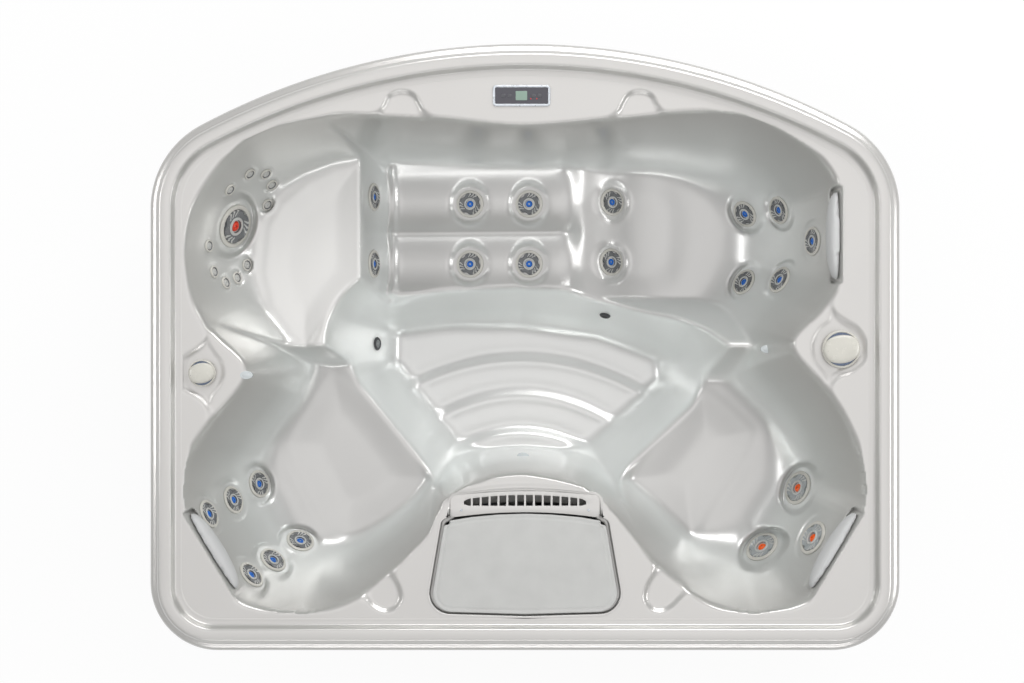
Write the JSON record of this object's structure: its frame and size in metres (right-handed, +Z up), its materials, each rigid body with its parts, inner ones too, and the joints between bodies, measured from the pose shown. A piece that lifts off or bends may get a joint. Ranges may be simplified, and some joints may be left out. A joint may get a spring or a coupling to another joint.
{
  "type": "hot tub",
  "caption": "Acrylic hot tub with an arched back, a lounge, three seats and a footwell, massage jets, pillows, deck controls and a lidded filter well, in a slatted cabinet",
  "frame": {"origin": "middle of the underside of the base pan, on the floor", "axes": "+X the head end of the lounge, +Y the arched back, +Z up"},
  "size_m": [2.1, 1.7, 0.76],
  "materials": {
    "deck_knob": "warm light grey moulded plastic",
    "jet_face": "dark grey moulded jet face with light slots",
    "jet_flange": "warm light grey moulded plastic, satin",
    "base_pan": "black moulded plastic",
    "cabinet_slat": "wood-grain composite slat, charcoal brown",
    "panel_bezel": "silver painted plastic with dark display window",
    "corner_trim": "matt charcoal plastic",
    "equipment_case": "grey coated case",
    "filter_paper": "pleated spun polyester",
    "filter_lid": "light grey plastic, fine leather grain",
    "timber": "planed softwood",
    "panel_button": "dark rubber keys",
    "pillow_foam": "grey skinned foam, soft matt",
    "pump_motor": "dark enamelled motor casing",
    "pump_rotor": "moulded impeller on a steel shaft",
    "pump_plastic": "black glass-filled plastic",
    "fitting": "dark grey moulded plastic",
    "shell_acrylic": "pearl white vacuum-formed acrylic, high gloss",
    "weir_grille": "light grey moulded plastic"
  },
  "bodies": {
    "tub": {"back_jet_bodies": "jet_flange", "base_pan": "base_pan", "cabinet_back": "cabinet_slat", "cabinet_front": "cabinet_slat", "cabinet_left": "cabinet_slat", "cabinet_right": "cabinet_slat", "control_bezel": "panel_bezel", "corner_back_left": "corner_trim", "corner_back_right": "corner_trim", "corner_front_left": "corner_trim", "corner_front_right": "corner_trim", "corner_seat_jet_bodies": "jet_flange", "equipment_pack": "equipment_case", "filter_cartridge_left": "filter_paper", "filter_cartridge_right": "filter_paper", "frame": "timber", "left_seat_jet_bodies": "jet_flange", "lounge_jet_bodies": "jet_flange", "pillow_left_seat": "pillow_foam", "pillow_lounge": "pillow_foam", "pillow_right_seat": "pillow_foam", "pump_motor": "pump_motor", "pump_wet_end": "pump_plastic", "return_fitting": "fitting", "right_seat_jet_bodies": "jet_flange", "shell": "shell_acrylic", "suction_cover": "fitting", "weir_grille": "weir_grille"},
    "air_control_knob": {"air_control_knob": "deck_knob"},
    "back_jet_1": {"back_jet_1": "jet_face"},
    "back_jet_2": {"back_jet_2": "jet_face"},
    "back_jet_3": {"back_jet_3": "jet_face"},
    "back_jet_4": {"back_jet_4": "jet_face"},
    "back_jet_5": {"back_jet_5": "jet_face"},
    "corner_seat_jet_1": {"corner_seat_jet_1": "jet_face"},
    "diverter_knob": {"diverter_knob": "deck_knob"},
    "filter_lid": {"filter_lid": "filter_lid"},
    "foot_jet_1": {"foot_jet_1": "jet_face"},
    "foot_jet_2": {"foot_jet_2": "jet_face"},
    "hip_jet_1": {"hip_jet_1": "jet_face"},
    "hip_jet_2": {"hip_jet_2": "jet_face"},
    "left_seat_jet_1": {"left_seat_jet_1": "jet_face"},
    "left_seat_jet_2": {"left_seat_jet_2": "jet_face"},
    "left_seat_jet_3": {"left_seat_jet_3": "jet_face"},
    "left_seat_jet_4": {"left_seat_jet_4": "jet_face"},
    "left_seat_jet_5": {"left_seat_jet_5": "jet_face"},
    "left_seat_jet_6": {"left_seat_jet_6": "jet_face"},
    "leg_jet_1": {"leg_jet_1": "jet_face"},
    "leg_jet_2": {"leg_jet_2": "jet_face"},
    "leg_jet_3": {"leg_jet_3": "jet_face"},
    "leg_jet_4": {"leg_jet_4": "jet_face"},
    "panel_button_1": {"panel_button_1": "panel_button"},
    "panel_button_2": {"panel_button_2": "panel_button"},
    "panel_button_3": {"panel_button_3": "panel_button"},
    "panel_button_4": {"panel_button_4": "panel_button"},
    "pump_rotor": {"pump_rotor": "pump_rotor"},
    "right_seat_jet_1": {"right_seat_jet_1": "jet_face"},
    "right_seat_jet_2": {"right_seat_jet_2": "jet_face"},
    "right_seat_jet_3": {"right_seat_jet_3": "jet_face"}
  },
  "joints": [
    {"name": "leg_jet_1_turn", "type": "hinge", "parent": "tub", "child": "leg_jet_1", "pos_m": [-0.16695, 0.4352, 0.29945], "axis": [-0.1945, 0.0021, 0.9809], "range_deg": [0, 90]},
    {"name": "leg_jet_2_turn", "type": "hinge", "parent": "tub", "child": "leg_jet_2", "pos_m": [0.0126, 0.4335, 0.31995], "axis": [-0.1963, 0.0028, 0.9805], "range_deg": [0, 90]},
    {"name": "leg_jet_3_turn", "type": "hinge", "parent": "tub", "child": "leg_jet_3", "pos_m": [-0.16695, 0.25245, 0.29945], "axis": [-0.1945, -0.0018, 0.9809], "range_deg": [0, 90]},
    {"name": "leg_jet_4_turn", "type": "hinge", "parent": "tub", "child": "leg_jet_4", "pos_m": [0.0126, 0.2516, 0.31995], "axis": [-0.1963, -0.0015, 0.9805], "range_deg": [0, 90]},
    {"name": "hip_jet_1_turn", "type": "hinge", "parent": "tub", "child": "hip_jet_1", "pos_m": [0.26565, 0.442, 0.28506], "axis": [0.4988, 0, 0.8667], "range_deg": [0, 90]},
    {"name": "hip_jet_2_turn", "type": "hinge", "parent": "tub", "child": "hip_jet_2", "pos_m": [0.2625, 0.25925, 0.2858], "axis": [0.5085, 0, 0.8611], "range_deg": [0, 90]},
    {"name": "foot_jet_1_turn", "type": "hinge", "parent": "tub", "child": "foot_jet_1", "pos_m": [-0.4515, 0.44795, 0.39272], "axis": [0.9541, 0, 0.2994], "range_deg": [0, 90]},
    {"name": "foot_jet_2_turn", "type": "hinge", "parent": "tub", "child": "foot_jet_2", "pos_m": [-0.4515, 0.2482, 0.39272], "axis": [0.9541, 0, 0.2994], "range_deg": [0, 90]},
    {"name": "back_jet_1_turn", "type": "hinge", "parent": "tub", "child": "back_jet_1", "pos_m": [0.6678, 0.40375, 0.3131], "axis": [-0.6732, -0.418, 0.6099], "range_deg": [0, 90]},
    {"name": "back_jet_2_turn", "type": "hinge", "parent": "tub", "child": "back_jet_2", "pos_m": [0.7539, 0.4063, 0.4217], "axis": [-0.8494, -0.2399, 0.4702], "range_deg": [0, 90]},
    {"name": "back_jet_3_turn", "type": "hinge", "parent": "tub", "child": "back_jet_3", "pos_m": [0.66255, 0.19635, 0.33024], "axis": [-0.7179, 0.4042, 0.5667], "range_deg": [0, 90]},
    {"name": "back_jet_4_turn", "type": "hinge", "parent": "tub", "child": "back_jet_4", "pos_m": [0.75285, 0.19805, 0.44603], "axis": [-0.79, 0.3984, 0.4661], "range_deg": [0, 90]},
    {"name": "back_jet_5_turn", "type": "hinge", "parent": "tub", "child": "back_jet_5", "pos_m": [0.8274, 0.3043, 0.57286], "axis": [-0.9335, 0.0095, 0.3585], "range_deg": [0, 90]},
    {"name": "left_seat_jet_1_turn", "type": "hinge", "parent": "tub", "child": "left_seat_jet_1", "pos_m": [-0.7959, -0.4097, 0.38248], "axis": [0.8063, 0.2191, 0.5495], "range_deg": [0, 90]},
    {"name": "left_seat_jet_2_turn", "type": "hinge", "parent": "tub", "child": "left_seat_jet_2", "pos_m": [-0.8526, -0.4471, 0.49601], "axis": [0.8395, 0.3253, 0.4352], "range_deg": [0, 90]},
    {"name": "left_seat_jet_3_turn", "type": "hinge", "parent": "tub", "child": "left_seat_jet_3", "pos_m": [-0.89775, -0.4743, 0.6317], "axis": [0.8711, 0.3826, 0.308], "range_deg": [0, 90]},
    {"name": "left_seat_jet_4_turn", "type": "hinge", "parent": "tub", "child": "left_seat_jet_4", "pos_m": [-0.67305, -0.58055, 0.37942], "axis": [0.312, 0.7608, 0.5691], "range_deg": [0, 90]},
    {"name": "left_seat_jet_5_turn", "type": "hinge", "parent": "tub", "child": "left_seat_jet_5", "pos_m": [-0.73815, -0.6239, 0.48614], "axis": [0.5653, 0.684, 0.4611], "range_deg": [0, 90]},
    {"name": "left_seat_jet_6_turn", "type": "hinge", "parent": "tub", "child": "left_seat_jet_6", "pos_m": [-0.78225, -0.6511, 0.60167], "axis": [0.7056, 0.6182, 0.3462], "range_deg": [0, 90]},
    {"name": "right_seat_jet_1_turn", "type": "hinge", "parent": "tub", "child": "right_seat_jet_1", "pos_m": [0.8106, -0.4182, 0.42064], "axis": [-0.7988, 0.3292, 0.5035], "range_deg": [0, 90]},
    {"name": "right_seat_jet_2_turn", "type": "hinge", "parent": "tub", "child": "right_seat_jet_2", "pos_m": [0.70455, -0.59415, 0.41549], "axis": [-0.5291, 0.6784, 0.5097], "range_deg": [0, 90]},
    {"name": "right_seat_jet_3_turn", "type": "hinge", "parent": "tub", "child": "right_seat_jet_3", "pos_m": [0.8274, -0.54825, 0.57924], "axis": [-0.8151, 0.4492, 0.3658], "range_deg": [0, 90]},
    {"name": "corner_seat_jet_1_turn", "type": "hinge", "parent": "tub", "child": "corner_seat_jet_1", "pos_m": [-0.84, 0.3502, 0.53831], "axis": [0.8297, -0.276, 0.4852], "range_deg": [0, 90]},
    {"name": "air_control_knob_turn", "type": "hinge", "parent": "tub", "child": "air_control_knob", "pos_m": [-0.89565, -0.07225, 0.738], "axis": [0, 0, 1], "range_deg": [0, 90]},
    {"name": "diverter_knob_turn", "type": "hinge", "parent": "tub", "child": "diverter_knob", "pos_m": [0.87675, -0.00595, 0.738], "axis": [0, 0, 1], "range_deg": [-90, 90]},
    {"name": "filter_lid_lift", "type": "slide", "parent": "tub", "child": "filter_lid", "axis": [0, 0, 1], "range_m": [0, 0.3]},
    {"name": "panel_button_1_press", "type": "slide", "parent": "tub", "child": "panel_button_1", "axis": [0, 0, 1], "range_m": [-0.001, 0], "stiffness_N_per_m": 400},
    {"name": "panel_button_2_press", "type": "slide", "parent": "tub", "child": "panel_button_2", "axis": [0, 0, 1], "range_m": [-0.001, 0], "stiffness_N_per_m": 400},
    {"name": "panel_button_3_press", "type": "slide", "parent": "tub", "child": "panel_button_3", "axis": [0, 0, 1], "range_m": [-0.001, 0], "stiffness_N_per_m": 400},
    {"name": "panel_button_4_press", "type": "slide", "parent": "tub", "child": "panel_button_4", "axis": [0, 0, 1], "range_m": [-0.001, 0], "stiffness_N_per_m": 400},
    {"name": "pump_rotor_spin", "type": "hinge", "parent": "tub", "child": "pump_rotor", "pos_m": [-0.6612, -0.35997, 0.125], "axis": [1, 0, 0], "continuous": true}
  ]
}
